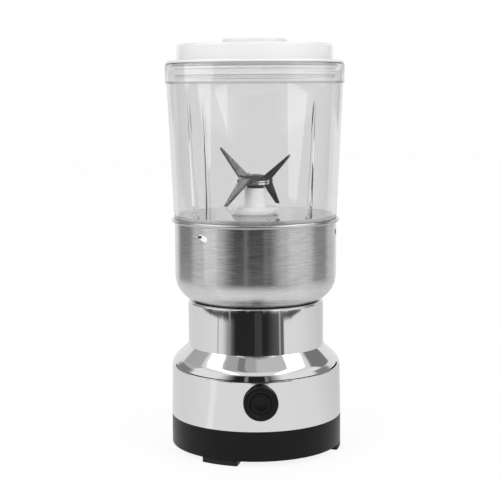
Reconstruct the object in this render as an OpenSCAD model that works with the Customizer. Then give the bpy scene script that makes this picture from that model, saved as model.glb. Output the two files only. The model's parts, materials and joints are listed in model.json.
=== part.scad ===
// Electric grinder: a motor base with a steel bowl, a clear cup with a cross blade, and a lid.
// Millimetres, +Z up. The origin is on the axis at the underside of the feet; the button faces -Y.
// Azimuths are counted from the button (-Y) towards +X.

/* [Base] */
// Diameter of the base pan and of the body's foot
base_d = 100; // [96:0.5:108]
// Height of the rubber feet
foot_h = 3; // [2:0.5:6]
// Angle that each foot covers
foot_span = 25.5; // [18:0.5:32]
// Radial depth of a foot
foot_depth = 9; // [7:0.5:12]
// Height of the base pan's wall below the body
pan_h = 17.1; // [15:0.1:24]
// Wall thickness of the base pan
pan_wall = 2.4; // [1.8:0.1:3.2]
// Floor thickness of the base pan
pan_floor = 2.5; // [1.5:0.1:4]
// Height of the lip that locates the body on the base pan
pan_lip_h = 5; // [2:0.5:6]
// Radius of the cord inlet's bore
inlet_bore_r = 3.6; // [2.5:0.1:4]
// Radius of the cord inlet's flanges
inlet_flange_r = 6.2; // [5.6:0.1:6.8]

/* [Body] */
// Sheet thickness of the chrome body
shell_t = 0.8; // [0.5:0.1:1.2]
// Height of the body's straight lower part
shell_low_h = 27.8; // [26:0.1:36]
// How much the lower part narrows towards the shoulder
shell_inset = 0.5; // [0:0.1:1.5]
// Rounding between the lower part and the shoulder
shoulder_r = 9; // [4:0.5:11]
// Height of the shoulder between the lower part and the neck
shoulder_h = 13.1; // [11:0.1:17]
// Diameter of the neck
neck_d = 79.2; // [77:0.1:84]
// Height of the neck
neck_h = 26.6; // [24:0.1:34]
// Rounding of the neck's turned-in top edge
neck_lip_r = 1.2; // [0.9:0.1:1.6]

/* [Bowl] */
// Outer diameter of the steel bowl
bowl_d = 94.4; // [92:0.1:98]
// Sheet thickness of the bowl
bowl_t = 0.6; // [0.4:0.1:0.9]
// Depth of the bowl from its underside to the middle of the rolled rim
bowl_depth = 48; // [44:0.5:60]
// Radius of the bowl's bottom corner
bowl_corner_r = 16.4; // [14:0.1:18]
// How far the bowl's underside sinks below the neck's top edge
bowl_sink = 1; // [0.6:0.1:1.6]
// Section radius of the rolled rim
bead_r = 1.2; // [0.8:0.1:1.8]
// Length of a pressed locking dimple
dimple_len = 8; // [6:0.5:10]
// Height of a pressed locking dimple
dimple_h = 4.4; // [3.5:0.1:5.5]
// How deep a dimple reaches into the bowl
dimple_depth = 1.5; // [1:0.1:1.8]
// Drop of the dimples below the middle of the rolled rim
dimple_drop = 7.1; // [6:0.1:10]
// Slant of a dimple, down towards the right
dimple_slant = 20; // [0:1:30]

/* [Cup] */
// Outer diameter of the cup just above the bowl
cup_low_d = 94.8; // [93:0.1:97]
// Outer diameter of the cup just below its rim band
cup_top_d = 102; // [99:0.1:106]
// How far the rim band stands out from the wall below it
band_step = 0.75; // [0.5:0.05:3]
// Height of the rim band
band_h = 10.9; // [8:0.1:14]
// Wall thickness of the rim band
band_wall = 2.7; // [2.2:0.1:3.2]
// Inner height of the cup, from its floor to its rim
cup_h = 86.6; // [75:0.1:120]
// Wall thickness of the cup
cup_wall = 2.2; // [1.6:0.1:2.6]
// Thickness of the cup's floor
cup_floor_t = 3; // [2:0.1:5]
// Height of the floor's top above the cup's resting shoulder
floor_rise = 1.9; // [1:0.1:4]
// Wall thickness of the skirt that enters the bowl
skirt_wall = 3.2; // [2.9:0.1:4]
// How deep a rib stands out from the wall at the floor
rib_depth = 3; // [2:0.1:5]
// Thickness of a rib
rib_t = 1.8; // [1.2:0.1:3]
// Height at which a rib runs out into the wall, above the floor
rib_h = 66; // [40:1:70]
// Turn from free to locked
lock_turn = 20; // [12:1:22]

/* [Lid] */
// How far the lid's cap stays inside its flange
cap_inset = 6.15; // [4:0.05:9]
// Height of the cap above the cup's rim
lid_h = 10.7; // [8:0.1:16]
// Wall thickness of the lid
lid_wall = 1.8; // [1.2:0.1:2.5]
// Thickness of the flange on the cup's rim
flange_t = 1.5; // [1:0.1:2.5]
// How far the flange stays inside the rim band
flange_inset = 0.5; // [0.2:0.1:1.5]
// Rounding of the cap's top edge
lid_edge_r = 1.3; // [0.6:0.1:3]
// Diameter of the raised centre disc
boss_d = 37.4; // [25:0.1:50]
// Height of the raised centre disc
boss_h = 3.1; // [1.5:0.1:5]
// Depth of the plug inside the rim
plug_h = 9.2; // [8:0.1:12]
// Wall thickness of the plug
plug_wall = 2.4; // [2:0.1:2.6]
// How far the plug stays inside the mouth, a space that the sealing ring's two lips bridge
plug_inset = 2.6; // [1.5:0.1:2.8]

/* [Blade unit] */
// Diameter of the bearing pillar's flange
pillar_flange_d = 27; // [22:0.5:34]
// Diameter of the bearing pillar
pillar_d = 13; // [12:0.1:16]
// Height of the pillar's top above the cup's floor
pillar_h = 15; // [12:0.5:20]
// Diameter of the threaded barrel below the floor
barrel_d = 16; // [14:0.5:20]
// Width of a blade at the hub
blade_w = 9.8; // [7:0.1:12]
// Width of a blade at its tip
blade_tip_w = 2.6; // [1.5:0.1:4]
// Sheet thickness of the blades
blade_t = 1.2; // [0.8:0.1:2]
// Distance of the bends from the axis
bend_r = 8.8; // [7:0.1:11]
// Distance of the raised blade's front tip from the axis
up_front_reach = 26.3; // [25:0.1:32]
// Rise of the raised blade's front tip above the bend
up_front_rise = 13.3; // [8:0.1:18]
// Distance of the raised blade's back tip from the axis
up_back_reach = 28; // [25:0.1:32]
// Rise of the raised blade's back tip above the bend
up_back_rise = 15.9; // [8:0.1:18]
// Distance of the lowered blade's front tip from the axis
down_front_reach = 24.5; // [18:0.1:26]
// Drop of the lowered blade's front tip below the bend
down_front_drop = 14.1; // [8:0.1:16]
// Distance of the lowered blade's back tip from the axis
down_back_reach = 19.6; // [18:0.1:26]
// Drop of the lowered blade's back tip below the bend
down_back_drop = 15.2; // [8:0.1:16]
// Diameter of the blade shaft and of the motor shaft
shaft_d = 6; // [5:0.1:7]

/* [Coupling] */
// Diameter of both halves of the drive coupling
coupling_d = 20; // [18:0.5:26]
// Height of a coupling hub
hub_h = 8; // [6:0.5:10]
// Height of the coupling dogs
dog_h = 6; // [4:0.5:8]
// Angle that a dog covers
dog_span = 30; // [20:1:36]

/* [Motor] */
// Height of the stator core
stator_h = 24; // [16:0.5:28]
// Radial thickness of the stator's yoke, as a share of its radius
yoke_share = 0.138; // [0.1:0.002:0.16]
// Bore in which the armature runs, as a share of the stator's diameter
bore_share = 0.524; // [0.48:0.002:0.54]
// Air gap around the armature
air_gap = 0.5; // [0.3:0.1:1]
// Height of the winding ends beyond the cores
winding_h = 4.5; // [3:0.1:6]
// Commutator's diameter, as a share of the bore's
comm_share = 0.69; // [0.6:0.01:0.72]
// Height of the commutator
comm_h = 9; // [8:0.5:11]
// Outer diameter of the shaft bushes
bush_d = 14; // [12:0.5:16]
// Thickness of the bearing brackets
bracket_t = 3; // [2:0.1:4]
// Height of the bearing bosses on the brackets
bracket_boss_h = 5; // [4:0.1:7]
// Height of the fan
fan_h = 4; // [3:0.1:4.5]
// How far the fan stays inside the stator's radius
fan_inset = 3; // [1:0.5:8]
// Thickness of the frame's top plate
frame_t = 3.5; // [2.5:0.1:4.5]
// Diameter of the frame's posts
post_d = 6.4; // [5.6:0.1:6.8]

/* [Button] */
// Height of the button's middle above the base pan
button_rise = 16.9; // [14:0.1:18]
// Diameter of the black bezel
bezel_d = 19.6; // [17.6:0.1:21]
// Diameter of the button cap
cap_d = 12; // [10:0.1:12.8]
// How far the bezel and the cord inlet stand out from the base's outer radius
front_reach = 4.7; // [4:0.1:7]
// How far the cap's face lies behind the bezel's face
cap_recess = 0.5; // [0:0.1:1]
// Travel of the button
button_travel = 2.5; // [1.5:0.1:3]
// Diameter of the bezel's threaded barrel
bezel_barrel_d = 16.4; // [16:0.1:17]
// Width and height of the switch body
switch_size = 17; // [16.5:0.5:19]
// Coils of the button's spring
spring_turns = 6; // [4:1:8]

/* [Fasteners] */
// Shank diameter of the screws
screw_d = 3; // [2.5:0.1:3.5]
// Head diameter of the screws
screw_head_d = 6; // [5:0.1:6.6]
// Head height of the screws
screw_head_h = 2; // [1.5:0.1:2.4]

/* [Hidden] */
$fn = 96;

// Clearances
fit = 0.05;        // between pieces that are fixed together
run = 0.05;        // between a shaft and its bush
play = 0.3;        // between pieces that move past each other
slip = 0.2;        // around the button cap, the screws and the coils
slack = 0.4;       // around the skirt, the dimples and the motor frame
past = 1;          // how far a cut runs past the face that it opens
boss_wall = 2;     // wall around a bush or a screw's thread

// Azimuths
foot_az = [-28, 80, 206];
dimple_az = [-41.5, 78.5, 198.5];
rib_az = [-51, 39, 129, 219];
post_az = [30, 150, 270];
bolt_az = [0, 180];
brush_az = [90, 270];
up_blade_az = 42.5;
down_blade_az = -47.5;

// Levels from the feet upwards
base_r = base_d / 2;
pan_z = foot_h;
pan_top = pan_z + pan_h;
floor_z = pan_z + pan_floor;
pan_in_r = base_r - pan_wall;
low_top = pan_top + shell_low_h;
low_top_r = base_r - shell_inset;
neck_r = neck_d / 2;
// The shoulder's straight slope runs from the neck's foot and touches the rounding below it
shoulder_bend_r = low_top_r - shoulder_r;
shoulder_run = neck_r - shoulder_bend_r;
shoulder_normal = atan2(shoulder_h, shoulder_run) - acos(shoulder_r / norm([shoulder_run, shoulder_h]));
function shoulder_end(inset) = [
    shoulder_bend_r + (shoulder_r - inset) * cos(shoulder_normal),
    low_top + (shoulder_r - inset) * sin(shoulder_normal)
];
function neck_foot(inset) =
    shoulder_end(inset)[1] + (shoulder_end(inset)[0] - neck_r + inset) / tan(shoulder_normal);
neck_top = neck_foot(0) + neck_h;
bowl_z = neck_top - bowl_sink;
bowl_r = bowl_d / 2;
bowl_in_r = bowl_r - bowl_t;
bowl_floor = bowl_z + bowl_t;
bowl_bend_r = bowl_r - bowl_corner_r;
bowl_bend_z = bowl_z + bowl_corner_r;
bead_z = bowl_z + bowl_depth;

// The neck's lip reaches in to where the bowl's corner rests on it
clamp_gap = 0.1;
lip_in_r = bowl_bend_r + sqrt(pow(bowl_corner_r, 2) - pow(bowl_bend_z - neck_top - clamp_gap, 2));

// Motor frame under the bowl
gasket_t = 1;
frame_top = bowl_z - gasket_t;
frame_z = frame_top - frame_t;
frame_r = neck_r - shell_t - slack;
post_r = post_d / 2;
post_at = frame_r - post_r - slack;
pan_boss_h = 5;
pan_boss_wall = 0.8;
pan_boss_r = post_r + pan_boss_wall;
post_z = floor_z + pan_boss_h;
screw_r = screw_d / 2;
pilot_r = screw_r + fit;
screw_hole_r = screw_r + slip;
screw_head_r = screw_head_d / 2;
screw_len = 10;
gasket_w = 7.8;
bowl_screw_at = bowl_bend_r - gasket_w - screw_head_r;
bowl_boss_r = screw_r + boss_wall;
bowl_boss_h = 4.5;

// Feet's pegs and the vents in the base pan's floor
foot_peg_r = 1.8;
foot_peg_inset = 1;
foot_peg_at = base_r - foot_depth + foot_peg_inset + foot_peg_r;
foot_peg_h = foot_h / 2 + pan_floor;
vent_count = 12;
vent_w = 3;
vent_in_r = 12;
vent_margin = 2;
vent_out_r = post_at - pan_boss_r - vent_margin;

// Button, measured outwards from the axis
button_z = pan_top + button_rise;
function shell_r(z) = base_r - shell_inset * (z - pan_top) / shell_low_h;
bezel_r = bezel_d / 2;
bezel_front = base_r + front_reach;
bezel_edge_r = 1.2;
bezel_dish = 0.8;
bezel_barrel_r = bezel_barrel_d / 2;
cap_r = cap_d / 2;
cap_bore_r = cap_r + slip;
cap_front = bezel_front - cap_recess;
cap_dish_r = 16;
cap_dish_depth = 0.6;
collar_w = 1.2;
collar_r = cap_r + collar_w;
collar_bore_r = collar_r + slip;
cap_h = 6;
collar_t = 1.4;
collar_front = cap_front - cap_h;
collar_back = collar_front - collar_t;
stop_w = collar_front + play;
switch_inset = 8;
switch_front = base_r - switch_inset;
barrel_hole_r = bezel_barrel_r + slip;
bezel_nut_wall = 2.3;
bezel_nut_r = bezel_barrel_r + bezel_nut_wall;
bezel_nut_t = 3;
bezel_nut_front = sqrt(pow(shell_r(button_z + bezel_nut_r) - shell_t, 2) - pow(bezel_nut_r, 2)) - play;
switch_wall = 1.5;
spring_pocket = 3.6;
spring_seat = switch_front - spring_pocket;
stem_r = 1.8;
bridge_t = 0.8;
bridge_drop = 1.8;
bridge_w = spring_seat - bridge_drop;
contact_t = 0.8;
contact_front = bridge_w - bridge_t - button_travel - slip;
switch_back = contact_front - contact_t - fit - switch_wall;
contact_at = 3.6;
contact_w = 3;
tab_drop = 14;
spring_r = 3.2;
spring_wire_r = 0.35;

// Motor, hung from the frame; its levels count up from the fan, and the upper spacers take up the rest
shaft_r = shaft_d / 2;
bush_r = bush_d / 2;
switch_gap = 1.75;
stator_r = switch_back - switch_gap;
top_bracket_z = frame_z - bracket_boss_h - bracket_t;
fan_rise = 1.8;
fan_z = floor_z + fan_rise;
fan_gap = 0.8;
fan_r = stator_r - fan_inset;
low_boss_z = fan_z + fan_h + fan_gap;
low_bracket_z = low_boss_z + bracket_boss_h;
low_bracket_top = low_bracket_z + bracket_t;
comm_rise = 2;
comm_z = low_bracket_top + comm_rise;
comm_mid = comm_z + comm_h / 2;
comm_gap = 1.5;
stator_z = comm_z + comm_h + comm_gap + winding_h;
stator_top = stator_z + stator_h;
yoke_t = yoke_share * stator_r;
bolt_at = stator_r - yoke_t / 2;
bolt_r = 1.5;
bolt_hole_r = bolt_r + 2 * fit;
bolt_boss_r = 3;
spacer_r = 2.6;
bush_boss_r = bush_r + boss_wall;
stator_bore_r = bore_share * stator_r;
shoe_share = 0.097;
shoe_t = shoe_share * stator_r;
shoe_span = 116;
pole_share = 0.55;
pole_w = pole_share * stator_r;
yoke_in_r = stator_r - yoke_t;
coil_in_x = stator_bore_r + shoe_t + slack;
coil_share = 0.103;
coil_t = coil_share * stator_r;
coil_out_x = coil_in_x + coil_t;
coil_half = sqrt(pow(yoke_in_r - slack, 2) - pow(coil_out_x, 2));
comm_r = comm_share * stator_bore_r;
core_r = stator_bore_r - air_gap;
holder_w = 7;
holder_h = 6;
holder_wall = 0.8;
holder_gap = 0.8;
holder_in = comm_r + holder_gap;
holder_inset = 5;
holder_out = stator_r - holder_inset;
brush_gap = 0.15;
brush_share = 0.5;
brush_len = brush_share * (holder_out - holder_in);
brush_w = holder_w - 2 * holder_wall - 2 * fit;
brush_t = holder_h - 2 * holder_wall - 2 * fit;

// Bowl fittings and couplings
seal_hole_r = 9;
seal_flange_r = 11;
seal_flange_t = 1.5;
seal_top = bowl_floor + seal_flange_t;
coupling_r = coupling_d / 2;
dog_inset = 1.5;
dog_in_r = shaft_r + dog_inset;
dog_gap = 1.5;
dog_count = 3;
drive_dog_a = 90;
driven_dog_a = drive_dog_a - 180 / dog_count;
drive_gap = 0.8;
drive_z = seal_top + drive_gap;
drive_top = drive_z + hub_h;
driven_dog_z = drive_top + dog_gap;
driven_z = driven_dog_z + dog_h;
driven_top = driven_z + hub_h;
shaft_end_wall = 2;

// Cup
skirt_r = bowl_in_r - slack;
skirt_in_r = skirt_r - skirt_wall;
skirt_z = bowl_bend_z + play;
seat_z = bead_z + bead_r + play;
cup_floor = seat_z + floor_rise;
cup_under = cup_floor - cup_floor_t;
rim_z = cup_floor + cup_h;
band_z = rim_z - band_h;
cup_low_r = cup_low_d / 2;
cup_top_r = cup_top_d / 2;
band_r = cup_top_r + band_step;
mouth_r = band_r - band_wall;
plug_room = 0.8;
mouth_z = rim_z - plug_h - plug_room;
rim_edge = 0.8;
function cup_r(z) = cup_low_r + (cup_top_r - cup_low_r) * (z - seat_z) / (band_z - seat_z);
// Middle of the wall's thickness, where the ribs are rooted
function wall_mid(z) = cup_r(z) - cup_wall / 2;
dimple_z = bead_z - dimple_drop;
dimple_end_r = dimple_h / 2;
dimple_step = (dimple_len - dimple_h) / 2;
key_half_w = dimple_step * cos(dimple_slant) + dimple_end_r + slack;
key_half_h = dimple_step * sin(dimple_slant) + dimple_end_r + slack;
key_r = bowl_in_r - dimple_depth - slack;
key_half_a = asin(key_half_w / key_r);

// Blade unit
house_gap = 0.5;
house_z = driven_top + house_gap;
barrel_r = barrel_d / 2;
seal_ring_t = 1;
seal_inset = 1.5;
pillar_flange_r = pillar_flange_d / 2;
pillar_flange_t = 3;
pillar_r = pillar_d / 2;
pillar_top = cup_floor + pillar_h;
blade_bush_r = shaft_r + boss_wall;
blade_bush_h = 7;
house_nut_wall = 5;
house_nut_r = barrel_r + house_nut_wall;
house_nut_h = 5;
blade_seal_z = pillar_top + play;
blade_seal_h = 1.8;
washer_r = 8.2;
washer_t = 1.15;
washer_step = 0.2;
washer_z = blade_seal_z + blade_seal_h;
low_blade_z = washer_z + 2 * washer_t + washer_step;
up_blade_z = low_blade_z + blade_t;
blade_nut_z = up_blade_z + blade_t;
blade_nut_r = 4.6;
blade_nut_h = 0.8;
blade_bevel = 25;
bevel_land = 0.15;
bevel_start = 2;

// Lid
lid_z = rim_z + play;
flange_r = band_r - flange_inset;
lid_r = flange_r - cap_inset;
lid_top = lid_z + lid_h;
lid_in_r = lid_r - lid_wall;
boss_r = boss_d / 2;
boss_top = lid_top + boss_h;
boss_edge_r = 0.9;
flange_edge_r = 0.6 * flange_t;
plug_r = mouth_r - plug_inset;
plug_in_r = plug_r - plug_wall;
plug_z = lid_z - plug_h;
groove_depth = 1.4;
groove_r = plug_r - groove_depth;
groove_rise = 1.1;
groove_z = plug_z + groove_rise;
gasket_h = plug_h - 2 * groove_rise;
lip_root_share = 0.3;
lip_tip_share = 0.12;

// Cord inlet at the back
inlet_z = floor_z + inlet_flange_r + play;
inlet_wall = 1.4;
inlet_barrel_r = inlet_bore_r + inlet_wall;
inlet_sink = 0.8;
inlet_face = base_r - inlet_sink;
inlet_end = base_r + front_reach;
inlet_clip_t = 2;
inlet_clip = sqrt(pow(pan_in_r, 2) - pow(inlet_flange_r, 2)) - slip;

// Leads between the switch, the field coils and the brushes
wire_r = 0.9;
wire_at = post_at + post_r + slack + wire_r;

// Arc of points around a centre
function arc(centre, r, from, to, steps = 10) =
    [for (i = [0:steps]) let (a = from + (to - from) * i / steps) centre + r * [cos(a), sin(a)]];
function reversed(list) = [for (i = [len(list) - 1:-1:0]) list[i]];

// Children's +X points to the given azimuth
module at_azimuth(azimuth) {
    rotate([0, 0, azimuth - 90]) children();
}

// Children's +Z points out of the front, and their +Y points up
module facing_front(z) {
    translate([0, 0, z]) rotate([90, 0, 0]) children();
}

// Children's +Z points out of the back
module facing_back(z) {
    translate([0, 0, z]) rotate([-90, 0, 0]) children();
}

module tube(outer_r, inner_r, h) {
    difference() {
        cylinder(r = outer_r, h = h);
        translate([0, 0, -past]) cylinder(r = inner_r, h = h + 2 * past);
    }
}

// Pan-head screw with its head's underside at z = 0 and its shank pointing down
module screw(shank) {
    translate([0, 0, -shank]) cylinder(r = screw_r, h = shank + screw_head_h / 2);
    difference() {
        cylinder(r = screw_head_r, h = screw_head_h);
        slot_w = screw_head_r / 4;
        for (a = [0, 90])
            rotate([0, 0, a])
                translate([-screw_head_r * 0.6, -slot_w / 2, screw_head_h / 2])
                    cube([screw_head_r * 1.2, slot_w, screw_head_h]);
    }
}

// Faces of a closed tube whose rings of points follow each other along its path
function tube_faces(rings, sides) = concat(
    [
        for (i = [0:rings - 2], j = [0:sides - 1])
            let (k = (j + 1) % sides, low = i * sides, high = low + sides)
                each [[high + k, low + k, low + j], [high + j, high + k, low + j]]
    ],
    [for (j = [1:sides - 2]) [j, j + 1, 0]],
    [for (j = [1:sides - 2]) (rings - 1) * sides * [1, 1, 1] + [j + 1, j, 0]]
);

// Coil spring along +Z, as one tube that winds around the axis
module coil_spring(coil_r, coil_wire_r, h, turns) {
    steps = 8 * turns;
    sides = 6;
    rise = h - 2 * coil_wire_r;
    points = [
        for (i = [0:steps], j = [0:sides - 1])
            let (a = 360 * turns * i / steps, b = 360 * j / sides, r = coil_r + coil_wire_r * cos(b))
                [r * cos(a), r * sin(a), coil_wire_r + rise * i / steps + coil_wire_r * sin(b)]
    ];
    polyhedron(points = points, faces = tube_faces(steps + 1, sides));
    echo("gap between the coils", rise / turns - 2 * coil_wire_r);
}

// Insulated lead that follows a route of points, none of which runs straight up
module lead(route) {
    sides = 8;
    last = len(route) - 1;
    points = [
        for (i = [0:last], j = [0:sides - 1])
            let (
                along = route[min(i + 1, last)] - route[max(i - 1, 0)],
                side = cross(along, [0, 0, 1]) / norm(cross(along, [0, 0, 1])),
                up = cross(side, along) / norm(along),
                b = 360 * j / sides
            )
                route[i] + wire_r * (cos(b) * side + sin(b) * up)
    ];
    polyhedron(points = points, faces = tube_faces(last + 1, sides));
}

// Rounded bar seen along +Z, lying along X
module stadium(step, r, h) {
    for (side = [-1, 1]) translate([side * step, 0, 0]) cylinder(r = r, h = h);
    translate([-step, -r, 0]) cube([2 * step, 2 * r, h]);
}

// Ring of dogs of a coupling, the first one centred on the given angle from +X
module dogs(first, h) {
    for (i = [0:dog_count - 1])
        rotate([0, 0, first + 360 * i / dog_count - dog_span / 2])
            rotate_extrude(angle = dog_span)
                translate([dog_in_r, 0]) square([coupling_r - dog_in_r, h]);
}

// Base

module feet() {
    color("dimgray")
        for (azimuth = foot_az) {
            at_azimuth(azimuth - foot_span / 2)
                rotate_extrude(angle = foot_span)
                    translate([base_r - foot_depth, 0]) square([foot_depth, foot_h]);
            at_azimuth(azimuth)
                translate([foot_peg_at, 0, foot_h / 2]) cylinder(r = foot_peg_r, h = foot_peg_h);
        }
}

module base_pan() {
    lip_r = base_r - shell_t - play;
    color([0.1, 0.1, 0.1])
        difference() {
            union() {
                rotate_extrude()
                    polygon([
                        [0, pan_z], [base_r, pan_z], [base_r, pan_top], [lip_r, pan_top],
                        [lip_r, pan_top + pan_lip_h], [pan_in_r, pan_top + pan_lip_h],
                        [pan_in_r, floor_z], [0, floor_z]
                    ]);
                for (azimuth = post_az)
                    at_azimuth(azimuth)
                        translate([post_at, 0, pan_z + pan_floor / 2])
                            cylinder(r = pan_boss_r, h = post_z - pan_z - pan_floor / 2);
            }
            for (azimuth = post_az)
                at_azimuth(azimuth) translate([post_at, 0, pan_z - past]) {
                    cylinder(r = screw_hole_r, h = post_z - pan_z + 2 * past);
                    cylinder(r = screw_head_r + slip, h = past + screw_head_h + slip);
                }
            for (azimuth = foot_az)
                at_azimuth(azimuth)
                    translate([foot_peg_at, 0, pan_z - past])
                        cylinder(r = foot_peg_r + fit, h = pan_floor + 2 * past);
            for (i = [0:vent_count - 1])
                rotate([0, 0, 360 * i / vent_count])
                    translate([vent_in_r, -vent_w / 2, pan_z - past])
                        cube([vent_out_r - vent_in_r, vent_w, pan_floor + 2 * past]);
            facing_back(inlet_z) {
                translate([0, 0, inlet_clip - inlet_clip_t])
                    cylinder(r = inlet_barrel_r + fit, h = inlet_end - inlet_clip + inlet_clip_t);
                translate([0, 0, inlet_face]) cylinder(r = inlet_flange_r + slip, h = inlet_end - inlet_face);
            }
        }
}

module base_screws() {
    color("silver")
        for (azimuth = post_az)
            at_azimuth(azimuth)
                translate([post_at, 0, pan_z + screw_head_h + slip])
                    rotate([180, 0, 0]) screw(post_z + screw_len - pan_z - screw_head_h - slip);
}

module cord_inlet() {
    taper = 1;
    outer_end_r = inlet_flange_r - taper;
    color([0.12, 0.12, 0.12])
        facing_back(inlet_z)
            difference() {
                rotate_extrude()
                    polygon([
                        [0, inlet_clip - inlet_clip_t], [inlet_flange_r, inlet_clip - inlet_clip_t],
                        [inlet_flange_r, inlet_clip], [inlet_barrel_r, inlet_clip],
                        [inlet_barrel_r, inlet_face], [inlet_flange_r, inlet_face],
                        [inlet_flange_r, inlet_face + inlet_clip_t], [outer_end_r, inlet_end], [0, inlet_end]
                    ]);
                translate([0, 0, inlet_clip - inlet_clip_t - past])
                    cylinder(r = inlet_bore_r, h = inlet_end - inlet_clip + inlet_clip_t + 2 * past);
            }
}

// Body and bowl

function body_line(inset) = concat(
    [[base_r - inset, pan_top]],
    arc([shoulder_bend_r, low_top], shoulder_r - inset, 0, shoulder_normal),
    [[neck_r - inset, neck_foot(inset)]],
    arc([neck_r - neck_lip_r, neck_top - neck_lip_r], neck_lip_r - inset, 0, 90, 6),
    [[lip_in_r, neck_top - inset]]
);

module body_shell() {
    color("lightgray")
        difference() {
            rotate_extrude() polygon(concat(body_line(0), reversed(body_line(shell_t))));
            facing_front(button_z) cylinder(r = barrel_hole_r, h = base_r + past);
        }
}

function bowl_line(inset) = concat(
    [[seal_hole_r, bowl_z + inset]],
    arc([bowl_bend_r, bowl_bend_z], bowl_corner_r - inset, -90, 0, 16),
    [[bowl_r - inset, bead_z]]
);

module dimple(r, depth) {
    translate([bowl_r + past, 0, dimple_z])
        rotate([0, -90, 0])
            rotate([0, 0, 90 + dimple_slant]) stadium(dimple_step, r, past + depth);
}

module steel_bowl() {
    color("silver")
        difference() {
            union() {
                rotate_extrude() {
                    polygon(concat(bowl_line(0), reversed(bowl_line(bowl_t))));
                    translate([bowl_in_r + bead_r, bead_z]) circle(r = bead_r);
                }
                for (azimuth = dimple_az)
                    at_azimuth(azimuth)
                        intersection() {
                            dimple(dimple_end_r, bowl_t + dimple_depth);
                            translate([0, 0, bowl_z]) cylinder(r = bowl_r - bowl_t / 2, h = bowl_depth);
                        }
            }
            for (azimuth = dimple_az) at_azimuth(azimuth) dimple(dimple_end_r - bowl_t, dimple_depth);
            for (azimuth = post_az)
                at_azimuth(azimuth)
                    translate([bowl_screw_at, 0, bowl_z - past])
                        cylinder(r = screw_hole_r, h = bowl_t + 2 * past);
        }
}

module bowl_gasket() {
    color("black")
        translate([0, 0, frame_top]) tube(bowl_bend_r, bowl_bend_r - gasket_w, gasket_t);
}

module bowl_screws() {
    color("silver")
        for (azimuth = post_az)
            at_azimuth(azimuth)
                translate([bowl_screw_at, 0, bowl_floor]) screw(bowl_floor - frame_z + bowl_boss_h - past);
}

module shaft_seal() {
    color([0.15, 0.15, 0.15])
        difference() {
            union() {
                translate([0, 0, frame_top]) cylinder(r = seal_hole_r - fit, h = seal_top - frame_top);
                translate([0, 0, bowl_floor]) cylinder(r = seal_flange_r, h = seal_flange_t);
            }
            translate([0, 0, frame_top - past])
                cylinder(r = shaft_r + play, h = seal_top - frame_top + 2 * past);
        }
}

module seat_ring() {
    ring_in_r = skirt_in_r - past;
    ring_out_r = skirt_r - play;
    arc_r = bowl_corner_r - bowl_t - play;
    color("dimgray")
        rotate_extrude()
            polygon(concat(
                [[ring_out_r, bowl_bend_z], [ring_in_r, bowl_bend_z]],
                arc([bowl_bend_r, bowl_bend_z], arc_r, -acos((ring_in_r - bowl_bend_r) / arc_r),
                    -acos((ring_out_r - bowl_bend_r) / arc_r))
            ));
}

// Motor

module motor_frame() {
    rim_in_r = lip_in_r - past;
    color([0.2, 0.2, 0.2])
        difference() {
            union() {
                translate([0, 0, frame_z]) cylinder(r = frame_r, h = frame_t);
                translate([0, 0, frame_z]) tube(frame_r, rim_in_r, neck_top - shell_t - frame_z);
                for (azimuth = post_az)
                    at_azimuth(azimuth) {
                        translate([post_at, 0, post_z])
                            cylinder(r = post_r, h = frame_z - post_z + frame_t / 2);
                        translate([bowl_screw_at, 0, frame_z - bowl_boss_h])
                            cylinder(r = bowl_boss_r, h = bowl_boss_h + frame_t / 2);
                    }
                for (azimuth = bolt_az)
                    at_azimuth(azimuth)
                        translate([bolt_at, 0, frame_z - bracket_boss_h])
                            cylinder(r = bolt_boss_r, h = bracket_boss_h + frame_t / 2);
            }
            translate([0, 0, frame_z - past]) cylinder(r = shaft_r + boss_wall, h = frame_t + 2 * past);
            for (azimuth = post_az)
                at_azimuth(azimuth) {
                    translate([post_at, 0, post_z - past]) cylinder(r = pilot_r, h = screw_len + 2 * past);
                    translate([bowl_screw_at, 0, frame_z - bowl_boss_h - past])
                        cylinder(r = pilot_r, h = bowl_boss_h + frame_t + 2 * past);
                }
            for (azimuth = bolt_az)
                at_azimuth(azimuth)
                    translate([bolt_at, 0, frame_z - bracket_boss_h - past])
                        cylinder(r = bolt_r + fit, h = bracket_boss_h + frame_t / 2 + past);
        }
}

// Bearing bracket with its boss pointing up, its underside at z = 0
module bracket() {
    hole_r = (bolt_at - bush_boss_r) / 4;
    difference() {
        union() {
            cylinder(r = stator_r, h = bracket_t);
            cylinder(r = bush_boss_r, h = bracket_t + bracket_boss_h);
        }
        translate([0, 0, -past]) cylinder(r = bush_r + fit, h = bracket_t + bracket_boss_h + 2 * past);
        for (azimuth = bolt_az)
            at_azimuth(azimuth)
                translate([bolt_at, 0, -past]) cylinder(r = bolt_hole_r, h = bracket_t + 2 * past);
        for (a = [45:90:315])
            rotate([0, 0, a])
                translate([(bolt_at + bush_boss_r) / 2, 0, -past])
                    cylinder(r = hole_r, h = bracket_t + 2 * past);
    }
}

module top_bracket() {
    color("silver") translate([0, 0, top_bracket_z]) bracket();
}

module bottom_bracket() {
    pedestal_h = comm_mid - holder_h / 2 - low_bracket_top;
    color("silver") {
        translate([0, 0, low_bracket_top]) mirror([0, 0, 1]) bracket();
        for (azimuth = brush_az)
            at_azimuth(azimuth)
                translate([holder_in + past, -holder_w / 2, low_bracket_top - bracket_t / 2])
                    cube([holder_out - holder_in - 2 * past, holder_w, bracket_t / 2 + pedestal_h]);
    }
}

module motor_bolts() {
    color("silver")
        for (azimuth = bolt_az)
            at_azimuth(azimuth) translate([bolt_at, 0, low_bracket_z]) {
                cylinder(r = bolt_r, h = frame_z - low_bracket_z);
                translate([0, 0, -screw_head_h]) cylinder(r = bolt_boss_r, h = screw_head_h, $fn = 6);
            }
}

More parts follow.
